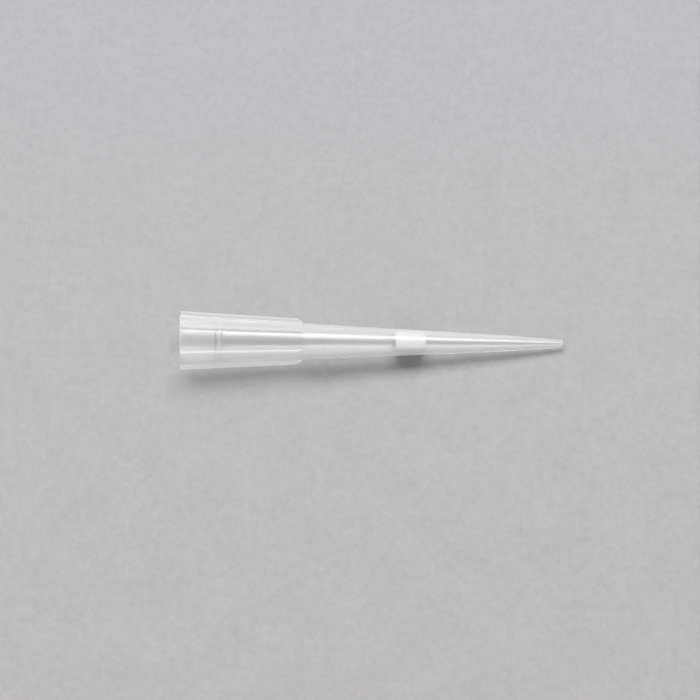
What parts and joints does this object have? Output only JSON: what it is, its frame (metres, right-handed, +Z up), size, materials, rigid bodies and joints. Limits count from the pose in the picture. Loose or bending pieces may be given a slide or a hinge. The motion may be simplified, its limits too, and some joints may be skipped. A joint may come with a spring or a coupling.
{
  "type": "filter pipette tip",
  "caption": "Filter pipette tip lying on its side: a long tapered clear plastic cone with a ribbed head, a stepped nozzle socket and a white porous plug in its bore.",
  "frame": {"origin": "on the surface that the tip lies on, under the middle of its box", "axes": "+X from the mouth to the nose, +Z up. The tip's own axis slopes down to the nose by about 3.3 degrees, because it lies on the ends of two ribs and on the ring where its nose starts"},
  "size_m": [0.0502, 0.0076, 0.0068],
  "materials": {
    "clear_polypropylene": "natural unpigmented polypropylene, smooth and moulded thin, clear with a faint milky haze",
    "porous_polyethylene": "white sintered porous polyethylene, matt with a fine grain"
  },
  "bodies": {
    "root": {"tip_body": "clear_polypropylene", "filter_plug": "porous_polyethylene"}
  },
  "joints": []
}
